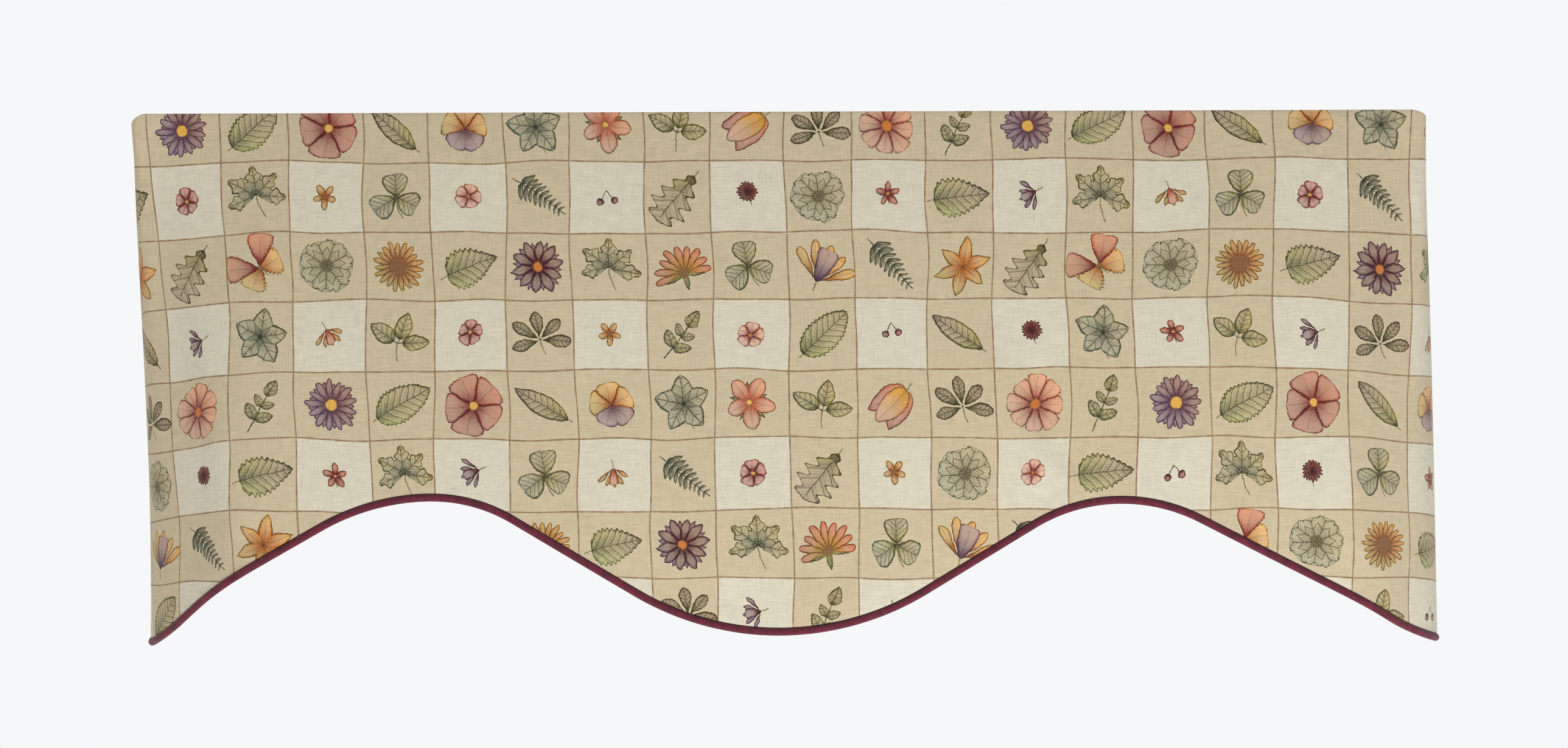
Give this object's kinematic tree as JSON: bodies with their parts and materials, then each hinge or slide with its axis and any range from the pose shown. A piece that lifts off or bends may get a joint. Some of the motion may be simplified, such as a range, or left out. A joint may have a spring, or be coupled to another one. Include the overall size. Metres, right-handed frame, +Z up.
{
  "type": "window valance",
  "caption": "Flat hung window valance of printed cotton with returned sides and a wavy hem edged with covered welt cord.",
  "frame": {"origin": "middle of the front's top edge", "axes": "+X along the width to the right seen from the room, -Y out of the front into the room, +Y towards the wall, +Z up"},
  "size_m": [1.0719, 0.1657, 0.4316],
  "materials": {
    "printed_cotton": "matt plain weave cotton, checked in tan and cream with printed leaves and flowers",
    "welt_cord": "matt plain burgundy cotton on a round cord"
  },
  "bodies": {
    "root": {"valance_cloth": "printed_cotton", "hem_piping": "welt_cord"}
  },
  "joints": []
}
